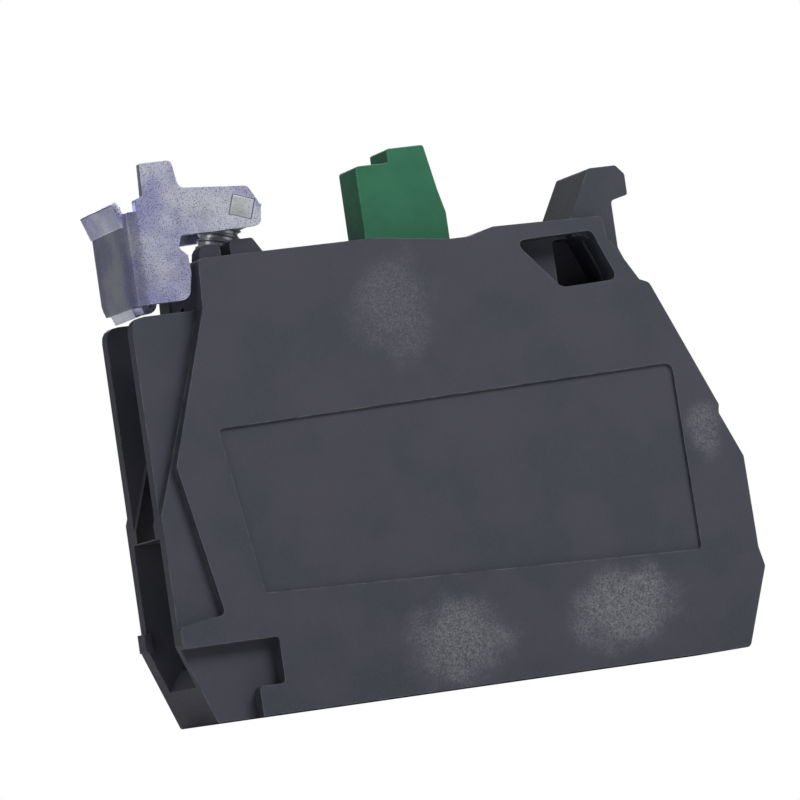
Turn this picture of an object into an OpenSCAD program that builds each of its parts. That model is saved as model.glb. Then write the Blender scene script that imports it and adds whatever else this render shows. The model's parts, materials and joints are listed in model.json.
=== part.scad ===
// Normally open contact block for an industrial push button.
// X runs along the block, Y through its thickness, Z along the plunger, which points up.
// z = 0 is the flat back face, and the plunger slides on the Z axis.

/* [Block] */
// Thickness of the closed block
block_t = 11; // [10.6:0.1:12]
// Height of the joint plane between the two shells, measured from the middle
joint_y = -0.3; // [-0.6:0.1:0.6]
// Depth of the stepped panel low on the left
step_low = 0.7; // [0.4:0.1:0.9]
// Depth of the cheek panel high on the left
step_high = 1.35; // [1:0.05:1.4]
// Depth of the label recess
label_depth = 0.25; // [0.1:0.05:0.4]
// Depth of the pocket at the lower left corner
pocket_depth = 1.2; // [0.8:0.1:1.3]
// Depth of the window's shallow half
window_depth = 2.4; // [1.5:0.1:2.6]
// Thickness of the outer walls at the terminals
wall = 1.3; // [1.1:0.1:1.4]

/* [Plunger] */
// Distance of the plunger's left side from its axis
plunger_left = 2.6; // [2.4:0.1:3.2]
// Distance of the plunger's right side from its axis
plunger_right = 3.7; // [3.2:0.1:3.8]
// Thickness of the plunger
plunger_t = 4; // [3.6:0.1:4.2]
// Height of the plunger's tip above the back face
plunger_top = 38.8; // [38:0.1:40]
// Play of the plunger in its slot, on each side
plunger_play = 0.15; // [0.1:0.05:0.25]

/* [Contacts] */
// Distance of the contact tips from the middle
tip_x = 7.2; // [6.8:0.1:7.8]
// Open gap between the tips
tip_gap = 2.2; // [2.2:0.05:2.6]
// Thickness of the brass strips
strip_t = 0.8; // [0.6:0.1:0.9]
// Width of the brass strips
strip_w = 5; // [4:0.1:5.4]

/* [Terminals] */
// Distance of the terminal screws from the middle
term_x = 15.4; // [15.2:0.1:15.6]
// Thread diameter of the terminal screws
term_d = 3.5; // [3:0.5:3.5]
// Diameter of the terminal screw heads
term_head_d = 5.6; // [5:0.1:5.7]

/* [Clamp] */
// Thickness of the clamp's sheet
sheet_t = 0.8; // [0.6:0.1:0.9]
// Outer width of the clamp
clamp_w = 9.8; // [9.6:0.1:10.4]
// Tilt of the fixing screw from the plunger's direction
fix_tilt = 19.4; // [19:0.1:19.8]
// Thread diameter of the fixing screw
fix_d = 3; // [2.5:0.5:3]

/* [Springs] */
// Wire diameter of the return spring
return_wire = 0.45; // [0.35:0.05:0.5]
// Wire diameter of the contact spring
contact_wire = 0.35; // [0.25:0.05:0.4]

/* [Hidden] */
$fn = 48;

cut = 5;                          // how far a cutting solid runs past a surface
face_y = block_t / 2;             // outer faces of the shells
step_low_y = face_y - step_low;
step_high_y = face_y - step_high;
cheek_in = step_high_y - wall;    // half the width of the wedge slot
room_in = step_low_y - wall;      // half the width of the rooms inside
hook_near = face_y - 1;           // near side of the collar hook
hook_far = 2.4;

// Heights
floor_z = 2;                      // floor of the contact room
roof_z = 29.7;                    // underside of the top wall
entry_z = [2.5, 13.3];            // wire entries
tab_z = 10;                       // underside of the terminal tabs
arm_z = 13.6;                     // underside of the contact arms
tip_h = 0.6;
tip_r = 1.3;
fixed_top_z = arm_z + strip_t + tip_h;
bridge_z = fixed_top_z + tip_gap + tip_h;
bridge_t = 0.6;
bridge_w = 3.8;
bridge_half = tip_x + 1.5;

// Terminals
head_z = 1.6;
head_h = 2;
head_top_z = head_z + head_h;
play = 0.05;                      // gap where pieces that move rest on each other
washer_h = 0.5;
saddle_z = head_top_z + washer_h + 2 * play;
saddle_h = 1;
nut_h = 2.2;
shank_top_z = 12.2;
driver_r = 3.1;                   // screwdriver holes in the back face
room_x = 12;                      // inner wall of the terminal rooms
riser_x = 11;                     // inner face of the contact risers
contact_room_x = 10.6;

// Fixing screw, with its own axis as local Z
fix_x = -14.2;
fix_z = 30;
fix_head_top = -4.4;
fix_head_h = 2;
fix_head_r = 2.45;
fix_tip = 7.2;
fix_nut_z = 6;
fix_nut_h = 1.4;
nut_tab = 0.8;                    // half the width of the tabs that the cheeks hold

// Plunger carrier
carrier_half = 3.4;
carrier_t = 6.4;
carrier_z = [13.5, 29.6];
window_z = [bridge_z - 0.15, 24];
window_half_y = 2.3;
pin_r = 1.2;
spring_seat_z = 3;

function unit(v) = v / norm(v);

// Outline points are [x, z, corner radius]. Each corner becomes a short curve.
function corner(a, p, b) =
    let (
        q = [p[0], p[1]],
        u = unit([a[0], a[1]] - q),
        v = unit([b[0], b[1]] - q),
        reach = p[2] / tan(acos(u * v) / 2)
    )
    p[2] == 0
        ? [q]
        : [for (s = [0:0.25:1]) q + reach * ((1 - s) * (1 - s) * u + s * s * v)];

function rounded(pts) =
    let (n = len(pts))
    [for (i = [0:n - 1]) each corner(pts[(i + n - 1) % n], pts[i], pts[(i + 1) % n])];

// Flat outlines in the XZ plane
outline = [
    [-19.1, 0, 0.2], [20.5, 0, 0.4], [22.5, 5.6, 0.5], [22.2, 7, 0.4], [22.1, 13.6, 0.4],
    [20.7, 16.9, 0.3], [20.8, 17.5, 0.3], [16.9, 26.8, 0.6], [16.2, 27.1, 0.2], [14.2, 30.5, 0.2],
    [14.1, 31.95, 0.4], [5.8, 32.1, 0.4], [4, 31.6, 0.3], [2.5, 31.6, 0.3], [-3, 32.3, 0.5],
    [-16.1, 32.35, 0.5], [-16.3, 28.85, 0.3], [-21.2, 28.85, 1], [-21.2, 5.7, 0.3]
];
main_face = [
    [-19.1, 0, 0.2], [20.5, 0, 0.4], [22.5, 5.6, 0.5], [22.2, 7, 0.4], [22.1, 13.6, 0.4],
    [20.7, 16.9, 0.3], [20.8, 17.5, 0.3], [16.9, 26.8, 0.6], [16.2, 27.1, 0.2], [14.2, 30.5, 0.2],
    [14.1, 31.95, 0.4], [5.8, 32.1, 0.4], [4, 31.6, 0.3], [2.5, 31.6, 0.3], [-3, 32.3, 0.5],
    [-16.1, 32.35, 0.5], [-16.3, 28.8, 0.8], [-19.8, 18.1, 0.8], [-17.8, 7.4, 0.4], [-21.2, 6.9, 0.2],
    [-21.2, 5.7, 0.3]
];
high_panel = [[-24, 33, 0], [-24, 5.9, 0], [-21.6, 13.7, 0], [-16.3, 28.8, 0.8], [-16.1, 33, 0]];
label_panel = [[-14.7, 8.5, 0.3], [17.9, 7.4, 0.4], [17.7, 20.9, 0.6], [-16.4, 20.3, 0.4]];
window = [[7.2, 30.9, 0.5], [10.3, 27.2, 0.9], [14.6, 27.3, 0.5], [13.1, 31, 0.5]];
window_deep = [[10.9, 30.8, 0.4], [10.9, 27.3, 0.4], [14.4, 27.4, 0.4], [13, 30.8, 0.4]];
pocket = [
    [-24, 5.4, 0], [-24, -2, 0], [-16.1, -2, 0], [-16.1, 2.1, 0.3], [-14.2, 2.1, 0.3], [-14.2, 5.4, 0.3]
];
wedge_slot = [[-24, 34, 0], [-24, 13.9, 0], [-21.35, 13.9, 0], [-16.15, 29, 0], [-16.15, 34, 0]];
hook = [
    [13.9, 35.5, 0.3], [16, 35.5, 0.3], [16.6, 34.8, 0.3], [16.6, 33.3, 0.2], [15.3, 33, 0.3],
    [15.3, 29.6, 0.4], [16.3, 27.1, 0], [14.75, 27.1, 0], [13.4, 30.5, 0], [12, 30.5, 0], [12, 32, 0.2]
];
contact_room = [
    [-contact_room_x, floor_z, 0.8], [contact_room_x, floor_z, 0.8], [contact_room_x, 24.5, 0.8],
    [6.5, roof_z, 0.6], [-6.5, roof_z, 0.6], [-contact_room_x, 26, 0.8]
];
terminal_room = [
    [room_x, 3.9, 0.3], [18.8, 3.9, 0], [18.8, 4.4, 0.2], [20.2, entry_z[0], 0.2], [25, entry_z[0], 0],
    [25, entry_z[1], 0], [room_x, entry_z[1], 0.3]
];
knob_low = [[-15.6, 31, 0], [-13.9, 31, 0], [-13.9, 33.2, 0.5], [-15.5, 33.6, 0.9]];
knob_high = [[-13.2, 31, 0], [-10.7, 31, 0], [-10.7, 32.2, 0.2], [-11.5, 33.5, 0.3], [-13.2, 33.5, 0.4]];
plunger_side = [
    [-plunger_left, 27, 0], [plunger_right, 27, 0], [plunger_right, 33.8, 0.4], [3.3, 35.5, 0.4],
    [2.7, plunger_top, 0.25], [-0.1, plunger_top, 0.25], [-0.1, plunger_top - 1, 0.15],
    [-plunger_left, plunger_top - 1, 0.3]
];
clamp_side = [
    [-21, 29.6, 0], [-16.9, 29.6, 0.8], [-16.55, 31.5, 0.8], [-16.6, 32.7, 0.3], [-17.2, 33.3, 0.3],
    [-16.9, 34.2, 0.4], [-14.6, 34.15, 0.6], [-11, 34.25, 0.4], [-10.8, 35.6, 0.4], [-11.6, 37.1, 0.5],
    [-16.6, 37.5, 0.6], [-16.9, 39.5, 0.4], [-19.2, 39.5, 0.1], [-19.3, 37.2, 0.1], [-19.9, 37, 0.2],
    [-19.9, 36.2, 0], [-21, 36.2, 0]
];
clamp_plan = [
    [-8, clamp_w / 2, 0], [-20.9, clamp_w / 2, 1.2], [-20.9, -clamp_w / 2, 1.2], [-8, -clamp_w / 2, 0]
];
clamp_lip = [[-20.9, 30.6, 0], [-20.1, 30.6, 0.2], [-19.75, 29.1, 0], [-20.4, 28.95, 0], [-20.9, 30.2, 0.2]];
far_cheek_z = 37;                 // the far cheek has no tall tab
far_chamfer = [[2.4, 29], [6, 29], [6, 32]];
clamp_flare = [
    [-20.9, 35.2, 0.2], [-20.1, 35.2, 0], [-20.1, 35.5, 0.2], [-20.8, 37.2, 0.1], [-21.5, 36.9, 0.1]
];

// A flat XZ outline as a slab from y0 to y1
module slab(pts, y0, y1) {
    translate([0, y1, 0]) rotate([90, 0, 0]) linear_extrude(y1 - y0) polygon(rounded(pts));
}

module block_at(from, to) {
    translate(from) cube(to - from);
}

// Places what follows along the fixing screw's axis, or on the left or right terminal
module on_fixing_axis() {
    translate([fix_x, 0, fix_z]) rotate([0, fix_tilt, 0]) children();
}

module at_side(side) {
    if (side < 0) mirror([1, 0, 0]) children();
    else children();
}

// Rooms and holes that both shells share
module shared_hollows() {
    slab(contact_room, -room_in, room_in);
    slab(wedge_slot, -cheek_in, cheek_in);
    block_at(
        [-plunger_left - plunger_play, -plunger_t / 2 - plunger_play, roof_z - 1],
        [plunger_right + plunger_play, plunger_t / 2 + plunger_play, roof_z + cut]
    );
    for (side = [-1, 1]) at_side(side) {
        slab(terminal_room, -room_in, room_in);
        translate([term_x, 0, -1]) cylinder(h = 5.6, r = driver_r);
        translate([term_x, 0, entry_z[1] - 1]) cylinder(h = 4.3, r = 2.1);
        contact_strip(play);
    }
    on_fixing_axis() {
        translate([0, 0, -18]) cylinder(h = 18 + fix_head_top, r = fix_head_r + 0.25);
        translate([0, 0, fix_head_top - 1]) cylinder(h = 10, r = fix_d / 2 + 0.15);
    }
}

// Steps that stand back from the faces, on the near side (side = -1) or the far side (side = 1)
module face_steps(side) {
    far = side > 0;
    difference() {
        slab([[-26, -4, 0], [26, -4, 0], [26, 40, 0], [-26, 40, 0]], far ? step_low_y : -face_y - cut,
            far ? face_y + cut : -step_low_y);
        slab(main_face, -face_y - 2 * cut, face_y + 2 * cut);
    }
    slab(high_panel, far ? step_high_y : -face_y - cut, far ? face_y + cut : -step_high_y);
}

module guide_ribs(side) {
    rib = [window_half_y + 0.3, room_in + 0.2];
    for (x = [-4.8, 3.9])
        block_at([x, side > 0 ? rib[0] : -rib[1], 19], [x + 0.9, side > 0 ? rib[1] : -rib[0], roof_z + 0.2]);
}

module housing_rear() {
    color("#3b3c42") {
        difference() {
            slab(outline, joint_y, face_y);
            face_steps(1);
            shared_hollows();
            slab(label_panel, face_y - label_depth, face_y + cut);
        }
        guide_ribs(1);
        difference() {
            slab(hook, -hook_near, hook_far);
            slab(window_deep, -face_y, 1);
        }
        translate([0, 0, floor_z - 0.2]) spring_boss();
        block_at([-21.5, 3, 5.7], [-21, step_low_y, 7]);
    }
}

module spring_boss() {
    difference() {
        cylinder(h = spring_seat_z - floor_z + 1.4, r = pin_r);
        translate([-cut, joint_y - cut, -1]) cube([2 * cut, cut, 4]);
    }
}

module housing_cover() {
    color("#44454d") {
        difference() {
            slab(outline, -face_y, joint_y);
            face_steps(-1);
            shared_hollows();
            slab(hook, -hook_near, joint_y + cut);
            slab(label_panel, -face_y - cut, -face_y + label_depth);
            slab(pocket, -face_y - cut, -face_y + pocket_depth);
            slab(window, -face_y - cut, -face_y + window_depth);
            slab(window_deep, -face_y, joint_y + cut);
        }
        guide_ribs(-1);
        slab(knob_low, -3.9, -1.9);
        slab(knob_high, -3.9, -1.9);
    }
}

module plunger() {
    window_cut = carrier_half + cut;
    color("#3c825a") {
        slab(plunger_side, -plunger_t / 2, plunger_t / 2);
        difference() {
            block_at([-carrier_half, -carrier_t / 2, carrier_z[0]],
                [carrier_half, carrier_t / 2, carrier_z[1]]);
            block_at([-window_cut, -window_half_y, window_z[0]], [window_cut, window_half_y, window_z[1]]);
        }
        translate([0, 0, 9.2]) cylinder(h = 5, r = pin_r);
    }
}

// One closed tube along a helix, with its last half turn on each end laid flat
module coil(mean_r, wire, z0, z1, turns) {
    rings = turns * 12;
    sides = 8;
    rise = z1 - z0 - wire;
    function height(i) =
        z0 + wire / 2 + rise * max(0, min(1, (i / 12 - 0.75) / (turns - 1.5)));
    points = [
        for (i = [0:rings], k = [0:sides - 1])
            let (r = mean_r + wire / 2 * cos(45 * k))
            [r * cos(30 * i), r * sin(30 * i), height(i) + wire / 2 * sin(45 * k)]
    ];
    skin = [
        for (i = [0:rings - 1], k = [0:sides - 1])
            let (n = (k + 1) % sides, a = i * sides)
            [a + k, a + n, a + sides + n, a + sides + k]
    ];
    ends = [[for (k = [sides - 1:-1:0]) k], [for (k = [0:sides - 1]) rings * sides + k]];
    polyhedron(points, concat(skin, ends));
}

module return_spring() {
    color("#b9bcc2") coil(1.9, return_wire, spring_seat_z - 1, carrier_z[0], 8);
}

module contact_spring() {
    color("#b9bcc2") coil(1.5, contact_wire, bridge_z + bridge_t, window_z[1], 5);
}

module contact_bridge() {
    dimple_r = 0.9;
    color("#c9a14a")
        difference() {
            block_at([-bridge_half, -bridge_w / 2, bridge_z],
                [bridge_half, bridge_w / 2, bridge_z + bridge_t]);
            for (side = [-1, 1], edge = [-1, 1])
                translate([side * 3.9, edge * bridge_w / 2, bridge_z - 1]) cylinder(h = 3, r = dimple_r / 2);
        }
}

module bridge_tip(side) {
    color("#d9d9dd") translate([side * tip_x, 0, bridge_z - tip_h]) cylinder(h = tip_h, r = tip_r);
}

// Brass strip from the terminal tab, up a riser and in to the contact tip
module contact_strip(grow) {
    half_w = strip_w / 2 + grow;
    block_at([riser_x - grow, -half_w, tab_z - grow], [term_x + 3.2 + grow, half_w, tab_z + strip_t + grow]);
    block_at([riser_x - grow, -half_w, tab_z - grow],
        [riser_x + strip_t + grow, half_w, arm_z + strip_t + grow]);
    block_at([tip_x - 1.6, -half_w, arm_z - grow],
        [riser_x + strip_t + grow, half_w, arm_z + strip_t + grow]);
}

module fixed_contact(side) {
    color("#c9a14a") at_side(side) difference() {
        contact_strip(0);
        translate([term_x, 0, tab_z - 1]) cylinder(h = 3, r = term_d / 2 + play);
    }
}

module fixed_tip(side) {
    color("#d9d9dd") translate([side * tip_x, 0, arm_z + strip_t]) cylinder(h = tip_h, r = tip_r);
}

module cross_recess(size, depth) {
    for (turn = [0, 90])
        rotate([0, 0, turn]) translate([-size / 2, -0.4, -1]) cube([size, 0.8, depth + 1]);
}

module terminal_screw(side) {
    color("#c4c6cc") translate([side * term_x, 0, 0]) {
        difference() {
            translate([0, 0, head_z]) cylinder(h = head_h, d = term_head_d);
            translate([0, 0, head_z]) cross_recess(3.4, 1.1);
        }
        translate([0, 0, head_top_z]) cylinder(h = shank_top_z - head_top_z, d = term_d);
    }
}

module terminal_washer(side) {
    color("#b9bcc2") translate([side * term_x, 0, head_top_z + play]) difference() {
        cylinder(h = washer_h, d = term_head_d);
        translate([0, 0, -1]) cylinder(h = 3, d = term_d + 0.3);
    }
}

module terminal_saddle(side) {
    groove_w = 0.5;
    color("#c4c6cc") translate([side * term_x, 0, saddle_z]) difference() {
        translate([-3.2, -3.2, 0]) cube([6.4, 6.4, saddle_h]);
        translate([0, 0, -1]) cylinder(h = 3, d = term_d + 0.3);
        for (x = [-2.4, 2.4])
            translate([x - groove_w / 2, -cut, saddle_h - 0.3]) cube([groove_w, 2 * cut, 1]);
    }
}

module terminal_nut(side) {
    color("#c9a14a") translate([side * term_x, 0, tab_z + strip_t]) difference() {
        translate([-2.8, -room_in + play, 0]) cube([5.6, 2 * (room_in - play), nut_h]);
        translate([0, 0, -1]) cylinder(h = nut_h + 2, d = term_d + 2 * play);
    }
}

module fixing_screw() {
    head_z0 = fix_head_top - play - fix_head_h;
    color("#c4c6cc") on_fixing_axis() {
        difference() {
            translate([0, 0, head_z0]) cylinder(h = fix_head_h, r = fix_head_r);
            translate([0, 0, head_z0]) cross_recess(3, 1.1);
        }
        translate([0, 0, fix_head_top - play]) cylinder(h = fix_tip - fix_head_top, d = fix_d);
    }
}

module fixing_nut() {
    inner_w = clamp_w - 2 * sheet_t - 2 * play;
    color("#b9bcc2") on_fixing_axis() translate([0, 0, fix_nut_z]) difference() {
        union() {
            translate([-2.3, -inner_w / 2, -fix_nut_h / 2]) cube([3.9, inner_w, fix_nut_h]);
            translate([-nut_tab, -clamp_w / 2, -fix_nut_h / 2]) cube([2 * nut_tab, clamp_w, fix_nut_h]);
        }
        translate([0, 0, -3]) cylinder(h = 6, d = fix_d + 2 * play);
    }
}

module fixing_clamp() {
    inner = [for (p = clamp_plan) [p[0] + sheet_t, p[1] - sign(p[1]) * sheet_t, p[2] == 0 ? 0 : p[2] - 0.8]];
    color("#a9abc8") {
        difference() {
            intersection() {
                slab(clamp_side, -clamp_w / 2, clamp_w / 2);
                translate([0, 0, 25]) linear_extrude(20) difference() {
                    polygon(rounded(clamp_plan));
                    polygon(rounded(inner));
                }
            }
            on_fixing_axis() translate([0, 0, fix_nut_z])
                block_at([-nut_tab - play, -clamp_w, -fix_nut_h / 2 - play],
                    [nut_tab + play, clamp_w, fix_nut_h / 2 + play]);
            block_at([-25, 0, far_cheek_z], [-5, clamp_w, 45]);
            translate([-25, 0, 0]) rotate([90, 0, 90]) linear_extrude(5.4) polygon(far_chamfer);
        }
        slab(clamp_lip, 0.1 - cheek_in, cheek_in - 0.1);
        slab(clamp_flare, -4.2, 4.2);
    }
}

housing_rear();
housing_cover();
plunger();
return_spring();
contact_bridge();
bridge_tip(-1);  // bridge_tip_left
bridge_tip(1);  // bridge_tip_right
contact_spring();
fixed_contact(-1);  // fixed_contact_left
fixed_contact(1);  // fixed_contact_right
fixed_tip(-1);  // fixed_tip_left
fixed_tip(1);  // fixed_tip_right
terminal_screw(-1);  // terminal_screw_left
terminal_screw(1);  // terminal_screw_right
terminal_washer(-1);  // terminal_washer_left
terminal_washer(1);  // terminal_washer_right
terminal_saddle(-1);  // terminal_saddle_left
terminal_saddle(1);  // terminal_saddle_right
terminal_nut(-1);  // terminal_nut_left
terminal_nut(1);  // terminal_nut_right
fixing_screw();
fixing_nut();
fixing_clamp();
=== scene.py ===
# %% [markdown]
# # The contact block behind an industrial push button
# This block is the electrical half of a panel button. A head on the front of the panel presses the green
# plunger, and the plunger closes a pair of silver contacts inside a black moulded case. A bent steel
# clamp at one end and a moulded hook at the other hold the block on the head's collar. The case, the
# contacts and the clamp have exact sizes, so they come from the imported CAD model. Blender adds what such
# a model lacks: broken edges, wound threads, round spring wire, and the real finishes.

# %% Load the frame
import json
import math
import bpy
from mathutils import Vector, Matrix

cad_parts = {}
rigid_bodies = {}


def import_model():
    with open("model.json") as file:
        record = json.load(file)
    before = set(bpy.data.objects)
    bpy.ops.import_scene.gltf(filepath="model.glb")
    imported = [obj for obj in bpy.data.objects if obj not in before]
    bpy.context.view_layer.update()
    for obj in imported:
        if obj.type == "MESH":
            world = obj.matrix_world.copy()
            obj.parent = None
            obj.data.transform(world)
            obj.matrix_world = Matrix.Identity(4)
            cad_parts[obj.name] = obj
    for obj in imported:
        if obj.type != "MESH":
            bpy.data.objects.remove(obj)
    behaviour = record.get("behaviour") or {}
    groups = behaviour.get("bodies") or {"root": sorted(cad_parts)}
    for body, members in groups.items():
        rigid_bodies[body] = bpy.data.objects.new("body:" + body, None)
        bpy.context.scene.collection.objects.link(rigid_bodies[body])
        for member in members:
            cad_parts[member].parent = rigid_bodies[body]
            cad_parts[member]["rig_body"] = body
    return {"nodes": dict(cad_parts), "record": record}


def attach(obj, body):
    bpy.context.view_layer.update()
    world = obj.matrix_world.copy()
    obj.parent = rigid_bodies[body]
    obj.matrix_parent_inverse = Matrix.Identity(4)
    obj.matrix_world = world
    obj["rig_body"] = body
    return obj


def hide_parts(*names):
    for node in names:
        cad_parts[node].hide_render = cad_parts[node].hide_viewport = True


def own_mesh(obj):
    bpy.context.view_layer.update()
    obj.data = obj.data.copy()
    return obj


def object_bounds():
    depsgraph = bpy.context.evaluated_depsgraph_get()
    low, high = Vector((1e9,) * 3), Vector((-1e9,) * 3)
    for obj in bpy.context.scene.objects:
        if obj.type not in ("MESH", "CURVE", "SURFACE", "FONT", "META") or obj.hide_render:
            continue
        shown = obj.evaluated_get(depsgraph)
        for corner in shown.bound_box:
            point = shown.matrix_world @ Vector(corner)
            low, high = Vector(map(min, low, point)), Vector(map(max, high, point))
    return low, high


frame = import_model()
cad_low, cad_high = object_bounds()
MM = 0.001
print("CAD box in mm:", [round(v / MM, 2) for v in (*cad_low, *cad_high)])

# %% [markdown]
# ## The camera
# The block is small, so it is seen from about 0.5 m through a long lens, which keeps its edges nearly
# parallel. The camera stands a little to the left and slightly below the middle, and it is rolled, so the
# block leans. A camera's own axes make its rotation matrix: right, up, and the direction that points back
# to the viewer.

# %% Place the camera
CAMERA_AZIMUTH = math.radians(-18.0)
CAMERA_ELEVATION = math.radians(-3.0)
CAMERA_ROLL = math.radians(8.3)
CAMERA_DISTANCE = 0.47
LENS_MM = 300.0
SENSOR_MM = 36.0
CLIP_START = 0.01

aim = Vector((-2.9 * MM, cad_low.y, 20.7 * MM))
back = Vector((
    math.sin(CAMERA_AZIMUTH) * math.cos(CAMERA_ELEVATION),
    -math.cos(CAMERA_AZIMUTH) * math.cos(CAMERA_ELEVATION),
    math.sin(CAMERA_ELEVATION),
))
level_right = Vector((math.cos(CAMERA_AZIMUTH), math.sin(CAMERA_AZIMUTH), 0.0))
level_up = back.cross(level_right)
right = math.cos(CAMERA_ROLL) * level_right - math.sin(CAMERA_ROLL) * level_up
up = math.sin(CAMERA_ROLL) * level_right + math.cos(CAMERA_ROLL) * level_up

camera_data = bpy.data.cameras.new("camera")
camera_data.lens = LENS_MM
camera_data.sensor_width = SENSOR_MM
camera_data.clip_start = CLIP_START
camera = bpy.data.objects.new("camera", camera_data)
bpy.context.scene.collection.objects.link(camera)
turned = Matrix((right, up, back)).transposed().to_4x4()
camera.matrix_world = Matrix.Translation(aim + back * CAMERA_DISTANCE) @ turned
bpy.context.scene.camera = camera
print("camera at", [round(v, 3) for v in camera.location])

# %% [markdown]
# ## Studio light
# Black plastic shows its grain only when the light grazes it, and plated steel shows only what it
# reflects. One large soft panel stands high and a little to the right, so the near cheek keeps the open
# slot at the left end in shadow. Weak ones fill from the left, from behind and from below, where the
# floor lets light through to the underside. The surroundings that metal reflects run from bright above to
# dark below. The backdrop itself stays white.

# %% Lights and surroundings
def soft_panel(name, place, size, power):
    """A square area light at place, turned towards the middle of the block."""
    light = bpy.data.lights.new(name, "AREA")
    light.size = size
    light.energy = power
    panel = bpy.data.objects.new(name, light)
    bpy.context.scene.collection.objects.link(panel)
    panel.location = place
    target = (cad_low + cad_high) / 2
    panel.rotation_euler = (target - Vector(place)).to_track_quat("-Z", "Y").to_euler()


soft_panel("key_panel", (0.20, -0.40, 0.34), 0.24, 2.0)
soft_panel("fill_panel", (-0.46, -0.16, 0.22), 0.24, 0.45)
soft_panel("rear_panel", (0.12, 0.42, 0.34), 0.30, 1.0)
soft_panel("low_panel", (0.10, -0.16, -0.42), 0.30, 0.4)

REFLECTED_BELOW = (0.10, 0.10, 0.12, 1)
REFLECTED_ABOVE = (0.85, 0.87, 0.90, 1)
REFLECTED_STRENGTH = 0.24

world = bpy.data.worlds.new("studio")
bpy.context.scene.world = world
world.use_nodes = True
sky = world.node_tree
sky.nodes.clear()
sky_coords = sky.nodes.new("ShaderNodeTexCoord")
sky_split = sky.nodes.new("ShaderNodeSeparateXYZ")
sky_ramp = sky.nodes.new("ShaderNodeValToRGB")
sky_ramp.color_ramp.elements[0].position = 0.0
sky_ramp.color_ramp.elements[0].color = REFLECTED_BELOW
sky_ramp.color_ramp.elements[1].position = 0.75
sky_ramp.color_ramp.elements[1].color = REFLECTED_ABOVE
sky_lift = sky.nodes.new("ShaderNodeMath")
sky_lift.operation = "MULTIPLY_ADD"
sky_lift.inputs[1].default_value = 0.5
sky_lift.inputs[2].default_value = 0.5
sky_dim = sky.nodes.new("ShaderNodeBackground")
sky_dim.inputs["Strength"].default_value = REFLECTED_STRENGTH
sky_white = sky.nodes.new("ShaderNodeBackground")
sky_white.inputs["Color"].default_value = (1, 1, 1, 1)
sky_white.inputs["Strength"].default_value = 1.0
sky_path = sky.nodes.new("ShaderNodeLightPath")
sky_mix = sky.nodes.new("ShaderNodeMixShader")
sky_out = sky.nodes.new("ShaderNodeOutputWorld")
for source, sink in (
    (sky_coords.outputs["Generated"], sky_split.inputs[0]),
    (sky_split.outputs["Z"], sky_lift.inputs[0]),
    (sky_lift.outputs[0], sky_ramp.inputs[0]),
    (sky_ramp.outputs["Color"], sky_dim.inputs["Color"]),
    (sky_path.outputs["Is Camera Ray"], sky_mix.inputs[0]),
    (sky_dim.outputs[0], sky_mix.inputs[1]),
    (sky_white.outputs[0], sky_mix.inputs[2]),
    (sky_mix.outputs[0], sky_out.inputs["Surface"]),
):
    sky.links.new(source, sink)
bpy.context.scene.view_settings.view_transform = "Standard"

# %% [markdown]
# ## The floor
# The floor is a plain pale sheet just under the block. The camera looks from slightly below it, so its
# underside lets the view through: Backfacing mixes in a transparent shader on that side. It is clear to
# shadow rays too, because those leave the block's underside downwards and meet the sheet's upper side, on
# their way to the low light.

# %% Lay the floor
FLOOR_SIZE = 1.6
FLOOR_GAP = 0.05 * MM
FLOOR_COLOUR = (0.80, 0.80, 0.80, 1)


def deselect_everything():
    """Operators act on all that is selected, and the CAD nodes arrive selected."""
    if bpy.context.object and bpy.context.object.mode != "OBJECT":
        bpy.ops.object.mode_set(mode="OBJECT")
    bpy.ops.object.select_all(action="DESELECT")


deselect_everything()
bpy.ops.mesh.primitive_plane_add(size=FLOOR_SIZE, location=(0, 0, cad_low.z - FLOOR_GAP))
floor = bpy.context.object
floor.name = "floor"
floor_paint = bpy.data.materials.new("pale_floor")
floor_paint.use_nodes = True
tree = floor_paint.node_tree
matte = tree.nodes["Principled BSDF"]
matte.inputs["Base Color"].default_value = FLOOR_COLOUR
matte.inputs["Roughness"].default_value = 0.9
clear = tree.nodes.new("ShaderNodeBsdfTransparent")
side = tree.nodes.new("ShaderNodeNewGeometry")
ray = tree.nodes.new("ShaderNodeLightPath")
see_through = tree.nodes.new("ShaderNodeMath")
see_through.operation = "MAXIMUM"
tree.links.new(side.outputs["Backfacing"], see_through.inputs[0])
tree.links.new(ray.outputs["Is Shadow Ray"], see_through.inputs[1])
choose = tree.nodes.new("ShaderNodeMixShader")
tree.links.new(see_through.outputs[0], choose.inputs[0])
tree.links.new(matte.outputs[0], choose.inputs[1])
tree.links.new(clear.outputs[0], choose.inputs[2])
tree.links.new(choose.outputs[0], tree.nodes["Material Output"].inputs["Surface"])
floor.data.materials.append(floor_paint)
print("floor at", round(floor.location.z / MM, 3), "mm")

# %% [markdown]
# ## Effects that several finishes share
# Moulded plastic and plated steel both have a fine grain, rubbed edges and uneven dirt. Each effect is a
# node group with named inputs, built once. A group gives out only masks and values. The shader stays in
# each material. A small helper makes the groups, because in Blender 4.5 their sockets come from the
# tree's interface.

# %% A helper for node groups
def new_group(name, inputs, outputs):
    """A shader node group with float or vector sockets. inputs is {name: (kind, default)}."""
    group = bpy.data.node_groups.new(name, "ShaderNodeTree")
    for label, (kind, value) in inputs.items():
        socket = group.interface.new_socket(label, in_out="INPUT", socket_type="NodeSocket" + kind)
        socket.default_value = value
    for label, kind in outputs.items():
        group.interface.new_socket(label, in_out="OUTPUT", socket_type="NodeSocket" + kind)
    return group, group.nodes.new("NodeGroupInput"), group.nodes.new("NodeGroupOutput")


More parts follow.
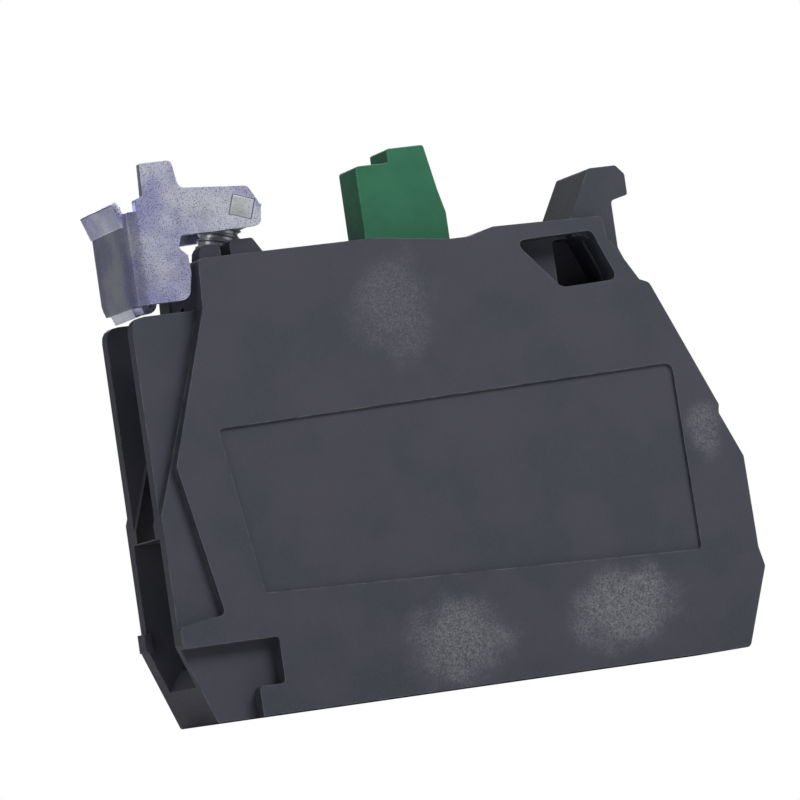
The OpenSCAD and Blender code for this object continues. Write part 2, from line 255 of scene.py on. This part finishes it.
def add_math(tree, operation, first, second):
    """A math node on sockets or numbers, which returns its output socket."""
    node = tree.nodes.new("ShaderNodeMath")
    node.operation = operation
    for slot_index, value in enumerate((first, second)):
        if isinstance(value, (int, float)):
            node.inputs[slot_index].default_value = value
        else:
            tree.links.new(value, node.inputs[slot_index])
    return node.outputs[0]


def add_noise(tree, vector, scale, detail=3.0, roughness=0.55):
    """A 3-D noise on the given vector socket, which returns its value socket."""
    node = tree.nodes.new("ShaderNodeTexNoise")
    node.inputs["Detail"].default_value = detail
    node.inputs["Roughness"].default_value = roughness
    if isinstance(scale, (int, float)):
        node.inputs["Scale"].default_value = scale
    else:
        tree.links.new(scale, node.inputs["Scale"])
    tree.links.new(vector, node.inputs["Vector"])
    return node.outputs[0]


def add_range(tree, value, low, high, to_low=0.0, to_high=1.0):
    """Maps value smoothly from low..high to to_low..to_high."""
    node = tree.nodes.new("ShaderNodeMapRange")
    node.interpolation_type = "SMOOTHSTEP"
    tree.links.new(value, node.inputs["Value"])
    for label, number in (("From Min", low), ("From Max", high), ("To Min", to_low), ("To Max", to_high)):
        if isinstance(number, (int, float)):
            node.inputs[label].default_value = number
        else:
            tree.links.new(number, node.inputs[label])
    return node.outputs["Result"]


# %% [markdown]
# ### Rubbed edges, with painted light on some
# Handling wears the corners of a part first. The Bevel node gives the normal of a rounded surface, so
# where it disagrees with the true normal there is an edge. Noise breaks the line up, because wear is
# never even. The same mask also lays painted light on edges: a painted highlight on metal rims and a
# painted glow on the plunger's edges.

# %% Build the edge group for wear and painted light
def make_edge_group():
    group, given, result = new_group(
        "edge_wear_and_painted_light",
        {"Vector": ("Vector", (0, 0, 0)), "Width": ("Float", 0.0002), "Patchiness": ("Float", 1500.0)},
        {"Mask": "Float"},
    )
    rounded = group.nodes.new("ShaderNodeBevel")
    rounded.samples = 6
    group.links.new(given.outputs["Width"], rounded.inputs["Radius"])
    true_normal = group.nodes.new("ShaderNodeNewGeometry")
    agree = group.nodes.new("ShaderNodeVectorMath")
    agree.operation = "DOT_PRODUCT"
    group.links.new(rounded.outputs[0], agree.inputs[0])
    group.links.new(true_normal.outputs["Normal"], agree.inputs[1])
    edge = add_range(group, agree.outputs["Value"], 0.995, 0.86)
    uneven = add_noise(group, given.outputs["Vector"], given.outputs["Patchiness"])
    patches = add_range(group, uneven, 0.35, 0.62)
    group.links.new(add_math(group, "MULTIPLY", edge, patches), result.inputs["Mask"])
    return group


edge_wear_and_painted_light = make_edge_group()
print("group", edge_wear_and_painted_light.name, "with", len(edge_wear_and_painted_light.nodes), "nodes")

# %% [markdown]
# ### Surface grain
# A mould gives its plastic a fine satin texture, and plating has a finer one. Two sizes of noise make the
# height: the grain itself, and a broad waviness that bends reflections a little.

# %% Build the grain group
def make_grain_group():
    group, given, result = new_group(
        "surface_grain",
        {"Vector": ("Vector", (0, 0, 0)), "Grain": ("Float", 9000.0), "Waves": ("Float", 260.0),
         "Wave share": ("Float", 0.35)},
        {"Height": "Float", "Speckle": "Float"},
    )
    fine = add_noise(group, given.outputs["Vector"], given.outputs["Grain"], detail=2.0)
    broad = add_noise(group, given.outputs["Vector"], given.outputs["Waves"], detail=1.0)
    scaled = add_math(group, "MULTIPLY", broad, given.outputs["Wave share"])
    group.links.new(add_math(group, "ADD", fine, scaled), result.inputs["Height"])
    group.links.new(fine, result.inputs["Speckle"])
    return group


surface_grain = make_grain_group()
print("group", surface_grain.name, "with", len(surface_grain.nodes), "nodes")

# %% [markdown]
# ### A rubbed or dusty patch
# A patch is soft at its rim and broken inside. The mask falls off with the distance from a centre,
# stretched by a size on each axis, and a fine noise cuts it into short strokes and dots.

# %% Build the patch group
def make_patch_group():
    group, given, result = new_group(
        "worn_patch",
        {"Vector": ("Vector", (0, 0, 0)), "Centre": ("Vector", (0, 0, 0)), "Size": ("Vector", (1, 1, 1)),
         "Strokes": ("Float", 2400.0)},
        {"Mask": "Float"},
    )
    offset = group.nodes.new("ShaderNodeVectorMath")
    offset.operation = "SUBTRACT"
    group.links.new(given.outputs["Vector"], offset.inputs[0])
    group.links.new(given.outputs["Centre"], offset.inputs[1])
    scaled = group.nodes.new("ShaderNodeVectorMath")
    scaled.operation = "DIVIDE"
    group.links.new(offset.outputs[0], scaled.inputs[0])
    group.links.new(given.outputs["Size"], scaled.inputs[1])
    distance = group.nodes.new("ShaderNodeVectorMath")
    distance.operation = "LENGTH"
    group.links.new(scaled.outputs[0], distance.inputs[0])
    ragged = add_noise(group, given.outputs["Vector"], 420.0, detail=3.0)
    reach = add_math(group, "ADD", distance.outputs["Value"], add_math(group, "MULTIPLY", ragged, 0.9))
    inside = add_range(group, reach, 1.45, 0.75)
    fine = add_noise(group, given.outputs["Vector"], given.outputs["Strokes"], detail=5.0)
    strokes = add_range(group, fine, 0.25, 0.80)
    group.links.new(add_math(group, "MULTIPLY", inside, strokes), result.inputs["Mask"])
    return group


worn_patch = make_patch_group()
print("group", worn_patch.name, "with", len(worn_patch.nodes), "nodes")

# %% [markdown]
# ## Finishes
# Every finish starts the same way: a Principled shader, the Object coordinates, and the groups above. A
# helper adds a group, and another lays one colour over another where a mask says so.

# %% Helpers for materials
def new_finish(name, roughness, metallic=0.0):
    """A material with its shader and Object coordinates ready: (material, tree, shader, coordinates)."""
    material = bpy.data.materials.new(name)
    material.use_nodes = True
    tree = material.node_tree
    shader = tree.nodes["Principled BSDF"]
    shader.inputs["Roughness"].default_value = roughness
    shader.inputs["Metallic"].default_value = metallic
    coords = tree.nodes.new("ShaderNodeTexCoord").outputs["Object"]
    return material, tree, shader, coords


def add_group(tree, group, coords, **values):
    """Places a node group, with spaces in its input names written as underscores."""
    node = tree.nodes.new("ShaderNodeGroup")
    node.node_tree = group
    tree.links.new(coords, node.inputs["Vector"])
    for label, value in values.items():
        node.inputs[label.replace("_", " ")].default_value = value
    return node


def lay_over(tree, under, over, mask):
    """The colour under with the colour over on it, by mask. Colours are sockets or RGB triples."""
    node = tree.nodes.new("ShaderNodeMix")
    node.data_type = "RGBA"
    for socket, value in ((node.inputs[6], under), (node.inputs[7], over)):
        if isinstance(value, tuple):
            socket.default_value = (*value, 1)
        else:
            tree.links.new(value, socket)
    tree.links.new(mask, node.inputs[0])
    return node.outputs[2]


def add_bump(tree, shader, height, depth):
    """Feeds a height socket to the shader's normal, with depth in metres."""
    bump = tree.nodes.new("ShaderNodeBump")
    bump.inputs["Distance"].default_value = depth
    bump.inputs["Strength"].default_value = 1.0
    tree.links.new(height, bump.inputs["Height"])
    tree.links.new(bump.outputs[0], shader.inputs["Normal"])


# %% [markdown]
# ### Black moulded case
# The case is glass-filled nylon: nearly black with a blue-grey cast, satin, and easily scuffed to grey.
# The colour drifts between a greener and a more violet grey. Grey rubs lie where fingers and other blocks
# touch the broad face.

# %% Make the case finish
NYLON_GREENISH = (0.033, 0.037, 0.051)
NYLON_VIOLET = (0.045, 0.043, 0.062)
NYLON_SPECKLE = (0.066, 0.069, 0.086)
NYLON_SCUFF = (0.205, 0.21, 0.22)
NYLON_WORN_EDGE = (0.15, 0.155, 0.16)
RUB_STROKES = 9000.0
RUBS = (
    # centre x, z and size x, z in millimetres, strength
    (-2.4, 27.4, 3.9, 4.8, 0.45),
    (-0.9, 3.3, 5.0, 3.8, 0.85),
    (11.6, 4.0, 5.6, 3.7, 0.95),
    (19.4, 15.9, 1.7, 2.6, 0.60),
)


def make_case_finish():
    material, tree, shader, coords = new_finish("black_nylon", 0.62)
    shader.inputs["Specular IOR Level"].default_value = 0.38
    drift = add_range(tree, add_noise(tree, coords, 180.0, detail=2.0), 0.35, 0.65)
    colour = lay_over(tree, NYLON_GREENISH, NYLON_VIOLET, drift)
    grain = add_group(tree, surface_grain, coords, Grain=7000.0, Waves=320.0, Wave_share=0.5)
    mottle = add_range(tree, grain.outputs["Speckle"], 0.35, 0.75, 0.0, 0.35)
    colour = lay_over(tree, colour, NYLON_SPECKLE, mottle)
    for x, z, width, height, strength in RUBS:
        patch = add_group(
            tree, worn_patch, coords,
            Centre=(x * MM, cad_low.y, z * MM), Size=(width * MM, 1.2 * MM, height * MM), Strokes=RUB_STROKES)
        mask = add_math(tree, "MULTIPLY", patch.outputs["Mask"], strength)
        colour = lay_over(tree, colour, NYLON_SCUFF, mask)
    edges = add_group(tree, edge_wear_and_painted_light, coords, Width=0.16 * MM, Patchiness=900.0)
    edge_tint = add_math(tree, "MULTIPLY", edges.outputs["Mask"], 0.55)
    colour = lay_over(tree, colour, NYLON_WORN_EDGE, edge_tint)
    tree.links.new(colour, shader.inputs["Base Color"])
    satin = add_range(tree, grain.outputs["Speckle"], 0.3, 0.7, 0.52, 0.70)
    tree.links.new(satin, shader.inputs["Roughness"])
    add_bump(tree, shader, grain.outputs["Height"], 0.010 * MM)
    return material


case_finish = make_case_finish()
print("finish", case_finish.name, "with", len(RUBS), "rubs")

# %% [markdown]
# ### Green plunger
# The plunger is slippery acetal, dyed through. It is smoother than the case and lets a little light in.
# Its edges are painted paler: partly rubbed wear, partly a painted glow of light through the thin edge.
# Faint flow marks run along its length.

# %% Make the plunger finish
ACETAL_DEEP = (0.016, 0.135, 0.066)
ACETAL_LIGHT = (0.024, 0.170, 0.086)
ACETAL_EDGE_WEAR_AND_PAINTED_GLOW = (0.08, 0.28, 0.17)


def make_plunger_finish():
    material, tree, shader, coords = new_finish("green_acetal", 0.42)
    shader.inputs["Specular IOR Level"].default_value = 0.32
    shader.inputs["Subsurface Weight"].default_value = 0.08
    shader.inputs["Subsurface Scale"].default_value = 0.6 * MM
    drift = add_range(tree, add_noise(tree, coords, 300.0, detail=3.0), 0.3, 0.7)
    colour = lay_over(tree, ACETAL_DEEP, ACETAL_LIGHT, drift)
    # The paler edge colour is partly rubbed wear and partly a painted glow of light through the thin edge.
    edges = add_group(tree, edge_wear_and_painted_light, coords, Width=0.25 * MM, Patchiness=1200.0)
    edge_tint = add_math(tree, "MULTIPLY", edges.outputs["Mask"], 0.6)
    colour = lay_over(tree, colour, ACETAL_EDGE_WEAR_AND_PAINTED_GLOW, edge_tint)
    grain = add_group(tree, surface_grain, coords, Grain=6000.0, Waves=500.0, Wave_share=0.6)
    tree.links.new(colour, shader.inputs["Base Color"])
    gloss = add_range(tree, grain.outputs["Speckle"], 0.3, 0.7, 0.36, 0.50)
    tree.links.new(gloss, shader.inputs["Roughness"])
    add_bump(tree, shader, grain.outputs["Height"], 0.006 * MM)
    return material


plunger_finish = make_plunger_finish()
print("finish", plunger_finish.name)

# %% [markdown]
# ### Plated and bare metals
# The clamp is zinc plated and blue passivated, so its reflections drift between lavender, pale grey and
# deep blue. The screws have clear zinc, the strips are brass, the tips silver, and the springs bare
# steel. One function makes them all from two or three colours, since they differ only in colour,
# roughness and how fine their grain is.

# %% Make the metal finishes
def make_metal(
        name, first, second, roughness, drift_scale=400.0,
        tarnish=(0.20, 0.19, 0.17), stained=0.4, edge_tint=0.35):
    material, tree, shader, coords = new_finish(name, roughness, 1.0)
    drift = add_range(tree, add_noise(tree, coords, drift_scale, detail=3.0), 0.36, 0.64)
    colour = lay_over(tree, first, second, drift)
    stain = add_range(tree, add_noise(tree, coords, drift_scale * 2.3, detail=1.5), 0.52, 0.80, 0.0, stained)
    colour = lay_over(tree, colour, tarnish, stain)
    edges = add_group(tree, edge_wear_and_painted_light, coords, Width=0.12 * MM, Patchiness=1800.0)
    # Edges get a lighter colour: partly rubbed plating, partly a painted highlight on lit rims such as the
    # clamp's cheek ends.
    edge_wear_and_highlight_colour = tuple(min(1.0, 1.25 * c) for c in first)
    colour = lay_over(tree, colour, edge_wear_and_highlight_colour, add_math(tree, "MULTIPLY", edges.outputs["Mask"], edge_tint))
    grain = add_group(tree, surface_grain, coords, Grain=12000.0, Waves=700.0, Wave_share=0.8)
    tree.links.new(colour, shader.inputs["Base Color"])
    gloss = add_range(tree, grain.outputs["Speckle"], 0.3, 0.7, roughness - 0.06, roughness + 0.10)
    tree.links.new(gloss, shader.inputs["Roughness"])
    add_bump(tree, shader, grain.outputs["Height"], 0.003 * MM)
    return material


METALS = {
    "blue_zinc": make_metal(
        "blue_zinc_plate", (0.66, 0.67, 0.76), (0.36, 0.36, 0.60), 0.30, 210.0, (0.34, 0.30, 0.29), 0.3, 0.5),
    "zinc": make_metal("clear_zinc_plate", (0.62, 0.64, 0.68), (0.48, 0.49, 0.50), 0.32, 600.0),
    "brass": make_metal(
        "stamped_brass", (0.78, 0.58, 0.25), (0.66, 0.46, 0.20), 0.30, 500.0, (0.22, 0.14, 0.07)),
    "silver": make_metal(
        "contact_silver", (0.86, 0.85, 0.83), (0.74, 0.73, 0.70), 0.28, 900.0, (0.30, 0.27, 0.22)),
    "spring_wire": make_metal("spring_steel", (0.52, 0.53, 0.55), (0.40, 0.40, 0.42), 0.30, 900.0),
}
FINISHES = {"shell": case_finish, "plunger": plunger_finish, **METALS}
print("finishes:", sorted(FINISHES))

# %% [markdown]
# ## From CAD solids to finished pieces
# A CAD node arrives as loose triangles with knife-sharp edges. Real moulded and stamped parts have small
# radii that catch the light. So each part is copied, its triangles are merged into flat faces, and a
# Bevel modifier breaks every sharp edge before it is applied. The copy then stands for the node, on the
# same body.

# %% Copy, merge and break the edges
SLOT_OF = {row["node"]: row["material_slot"] for row in frame["record"]["subparts"]}
FLAT_ANGLE = math.radians(0.5)
SHARP_ANGLE = math.radians(28)
SMOOTH_ANGLE = math.radians(35)
MERGE_WITHIN = 0.0005 * MM
EDGE_SEGMENTS = 2


def work_on(piece):
    deselect_everything()
    piece.select_set(True)
    bpy.context.view_layer.objects.active = piece


def copy_of_node(node, name):
    """A free copy of a CAD node, with its loose triangles merged into whole faces."""
    source = frame["nodes"][node]
    piece = bpy.data.objects.new(name, source.data.copy())
    bpy.context.scene.collection.objects.link(piece)
    piece.data.materials.clear()
    work_on(piece)
    bpy.ops.object.mode_set(mode="EDIT")
    bpy.ops.mesh.select_all(action="SELECT")
    bpy.ops.mesh.remove_doubles(threshold=MERGE_WITHIN)
    bpy.ops.mesh.dissolve_limited(angle_limit=FLAT_ANGLE)
    bpy.ops.object.mode_set(mode="OBJECT")
    return piece


def break_edges(piece, width):
    """Rounds every sharp edge by width, in metres."""
    work_on(piece)
    bevel = piece.modifiers.new("broken_edges", "BEVEL")
    bevel.limit_method = "ANGLE"
    bevel.angle_limit = SHARP_ANGLE
    bevel.width = width
    bevel.segments = EDGE_SEGMENTS
    bevel.use_clamp_overlap = True
    bpy.ops.object.modifier_apply(modifier=bevel.name)


def shade(piece):
    """Smooths the rounds only: weighted normals let each broad flat face keep its own direction."""
    work_on(piece)
    bpy.ops.object.shade_smooth_by_angle(angle=SMOOTH_ANGLE)
    weigh = piece.modifiers.new("flat_faces", "WEIGHTED_NORMAL")
    weigh.weight = 100
    weigh.keep_sharp = True
    bpy.ops.object.modifier_apply(modifier=weigh.name)


def hand_over(piece, node):
    """Gives a finished piece its shading, its finish and its body, in place of its CAD node."""
    shade(piece)
    piece.data.materials.append(FINISHES[SLOT_OF[node]])
    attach(piece, frame["nodes"][node]["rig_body"])
    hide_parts(node)
    print(piece.name, "-", len(piece.data.polygons), "faces")


# %% [markdown]
# ## Screw threads
# The CAD shank is a plain cylinder as wide as the thread's crests. A rolled thread is a ridge wound
# around a thinner core. So the shank of each finished screw is drawn in to the core, and a small tooth
# outline is wound up the axis by the Screw modifier at the pitch that the joint uses, and its two ends
# are closed.

# %% Wind a thread
TOOTH_STEPS = 24
CORE_SHARE = 0.84
RIDGE_SUNK = 0.04 * MM   # how far the ridge's foot sits inside the core


def draw_in_shank(piece, place, radius, low, high):
    """Shrinks the shank to the thread's core. place puts the screw's own axis, as local Z, into the frame."""
    work_on(piece)
    into_local = place.inverted()
    for vertex in piece.data.vertices:
        spot = into_local @ vertex.co
        if low < spot.z < high and math.hypot(spot.x, spot.y) < radius * 1.02:
            vertex.co = place @ Vector((spot.x * CORE_SHARE, spot.y * CORE_SHARE, spot.z))


def wind_thread(name, place, radius, pitch, start, turns):
    """One helical ridge, closed at both ends, up the local Z axis from start."""
    deselect_everything()
    core = radius * CORE_SHARE
    bpy.ops.mesh.primitive_plane_add(size=1)
    ridge = bpy.context.object
    ridge.name = name
    corners = ((core - RIDGE_SUNK, -0.42 * pitch), (core - RIDGE_SUNK, 0.42 * pitch),
               (radius, 0.06 * pitch), (radius, -0.06 * pitch))
    order = (0, 3, 2, 1)
    for index, face_vertex in enumerate(ridge.data.polygons[0].vertices):
        x, z = corners[order[index]]
        ridge.data.vertices[face_vertex].co = (x, 0, start + pitch / 2 + z)
    bpy.ops.object.mode_set(mode="EDIT")
    bpy.ops.mesh.select_all(action="SELECT")
    bpy.ops.mesh.delete(type="ONLY_FACE")
    bpy.ops.object.mode_set(mode="OBJECT")
    wind = ridge.modifiers.new("wind", "SCREW")
    wind.axis = "Z"
    wind.steps = wind.render_steps = TOOTH_STEPS
    wind.iterations = turns
    wind.screw_offset = pitch
    bpy.ops.object.modifier_apply(modifier=wind.name)
    bpy.ops.object.mode_set(mode="EDIT")
    bpy.ops.mesh.select_all(action="DESELECT")
    bpy.ops.mesh.select_non_manifold()
    bpy.ops.mesh.edge_face_add()
    bpy.ops.mesh.select_all(action="SELECT")
    bpy.ops.mesh.normals_make_consistent(inside=False)
    bpy.ops.object.mode_set(mode="OBJECT")
    ridge.data.transform(place)
    return ridge


# %% [markdown]
# ## Springs
# The CAD springs have eight flat sides and twelve steps to a turn. Subdivision rounds the wire without
# moving its path. Both springs are shorter when the plunger is down. The table gives each one's fixed end
# and the share of its length left at full travel, but the springs are not squashed here.

# %% Round the spring wire
SPRING_SQUASH = {
    # node: fixed end in millimetres, and share of its length left at full travel
    "return_spring": (2.0, 0.626),
    "contact_spring": (24.0, 0.616),
}


def round_wire(node):
    source = frame["nodes"][node]
    piece = bpy.data.objects.new(node + "_finished", source.data.copy())
    bpy.context.scene.collection.objects.link(piece)
    piece.data.materials.clear()
    work_on(piece)
    bpy.ops.object.mode_set(mode="EDIT")
    bpy.ops.mesh.select_all(action="SELECT")
    bpy.ops.mesh.remove_doubles(threshold=MERGE_WITHIN)
    bpy.ops.mesh.tris_convert_to_quads()
    bpy.ops.object.mode_set(mode="OBJECT")
    smooth = piece.modifiers.new("round_wire", "SUBSURF")
    smooth.levels = smooth.render_levels = 1
    bpy.ops.object.modifier_apply(modifier=smooth.name)
    return piece


# %% Finish the solid parts
EDGE_RADII = {
    # node: edge radius in millimetres
    "housing_rear": 0.18, "housing_cover": 0.18, "plunger": 0.2, "contact_bridge": 0.1,
    "fixed_contact_left": 0.15, "fixed_contact_right": 0.15, "terminal_saddle_left": 0.15,
    "terminal_saddle_right": 0.15, "terminal_nut_left": 0.15, "terminal_nut_right": 0.15,
    "terminal_washer_left": 0.08, "terminal_washer_right": 0.08, "bridge_tip_left": 0.2,
    "bridge_tip_right": 0.2, "fixed_tip_left": 0.2, "fixed_tip_right": 0.2, "fixing_nut": 0.1,
    "fixing_clamp": 0.1,
}
for node, radius in EDGE_RADII.items():
    piece = copy_of_node(node, node + "_finished")
    break_edges(piece, radius * MM)
    hand_over(piece, node)

# %% [markdown]
# ## Screws that match their joints
# The joints already say where each screw turns, and the couplings say how far one turn moves its saddle
# or clamp. So a screw's place comes from its joint and its pitch from its coupling, and the thread drawn
# is the thread that moves. All three are right-handed, so a clockwise turn, seen from the head, tightens
# them. The terminal screws travel as they turn. The fixing screw is held in its place and draws the clamp
# towards the case. The thread has as many whole turns as fit, and ends short of the screw's tip. The two
# terminal screws are alike, so their thread is wound once and the second one is a copy with its own mesh.

# %% Finish the screws, each with its thread
SCREW_EDGE = 0.12 * MM
JOINTS = {row["name"]: row for row in frame["record"]["behaviour"]["joints"]}
RATIOS = {row["joint"]: row["ratio"] for row in frame["record"]["behaviour"]["couplings"]}
SCREWS = {
    # node: joint, and in mm along its axis: thread radius, and where the plain shank and the thread start
    "terminal_screw_left": ("screw_left_turn", 1.75, 0.1, 0.6),
    "terminal_screw_right": ("screw_right_turn", 1.75, 0.1, 0.6),
    "fixing_screw": ("fixing_screw_turn", 1.5, -4.3, -0.2),
}


def place_of(joint):
    """The matrix that puts local Z on a joint's axis, with its origin at the joint."""
    row = JOINTS[joint]
    turn = Vector((0, 0, 1)).rotation_difference(Vector(row["axis"]))
    return Matrix.Translation(row["pos_m"]) @ turn.to_matrix().to_4x4()


def copy_thread(source, name, move):
    thread = bpy.data.objects.new(name, source.data.copy())
    bpy.context.scene.collection.objects.link(thread)
    thread.data.transform(move)
    return thread


wound = {}
for node, (joint, radius, low, start) in SCREWS.items():
    place = place_of(joint)
    pitch = math.tau / abs(RATIOS[joint])
    screw = copy_of_node(node, node + "_finished")
    tip = max((place.inverted() @ vertex.co).z for vertex in screw.data.vertices)
    turns = int((tip - start * MM) / pitch - 1)
    break_edges(screw, SCREW_EDGE)
    draw_in_shank(screw, place, radius * MM, low * MM, tip + 0.1 * MM)
    hand_over(screw, node)
    shape = (radius, round(pitch / MM, 3), start, turns)
    if shape in wound:
        first, first_place = wound[shape]
        thread = copy_thread(first, node + "_thread", place @ first_place.inverted())
    else:
        thread = wind_thread(node + "_thread", place, radius * MM, pitch, start * MM, turns)
        shade(thread)
        thread.data.materials.append(FINISHES[SLOT_OF[node]])
        wound[shape] = (thread, place)
    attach(thread, frame["nodes"][node]["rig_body"])
    ridge_end = max((place.inverted() @ vertex.co).z for vertex in thread.data.vertices)
    short_by = round((tip - ridge_end) / MM, 2)
    print(thread.name, "-", turns, "turns at", round(pitch / MM, 3), "mm")
    print("    it ends", short_by, "mm before the tip")

# %% Finish the springs
for node, (anchor, keep) in SPRING_SQUASH.items():
    spring = round_wire(node)
    hand_over(spring, node)
    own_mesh(spring)
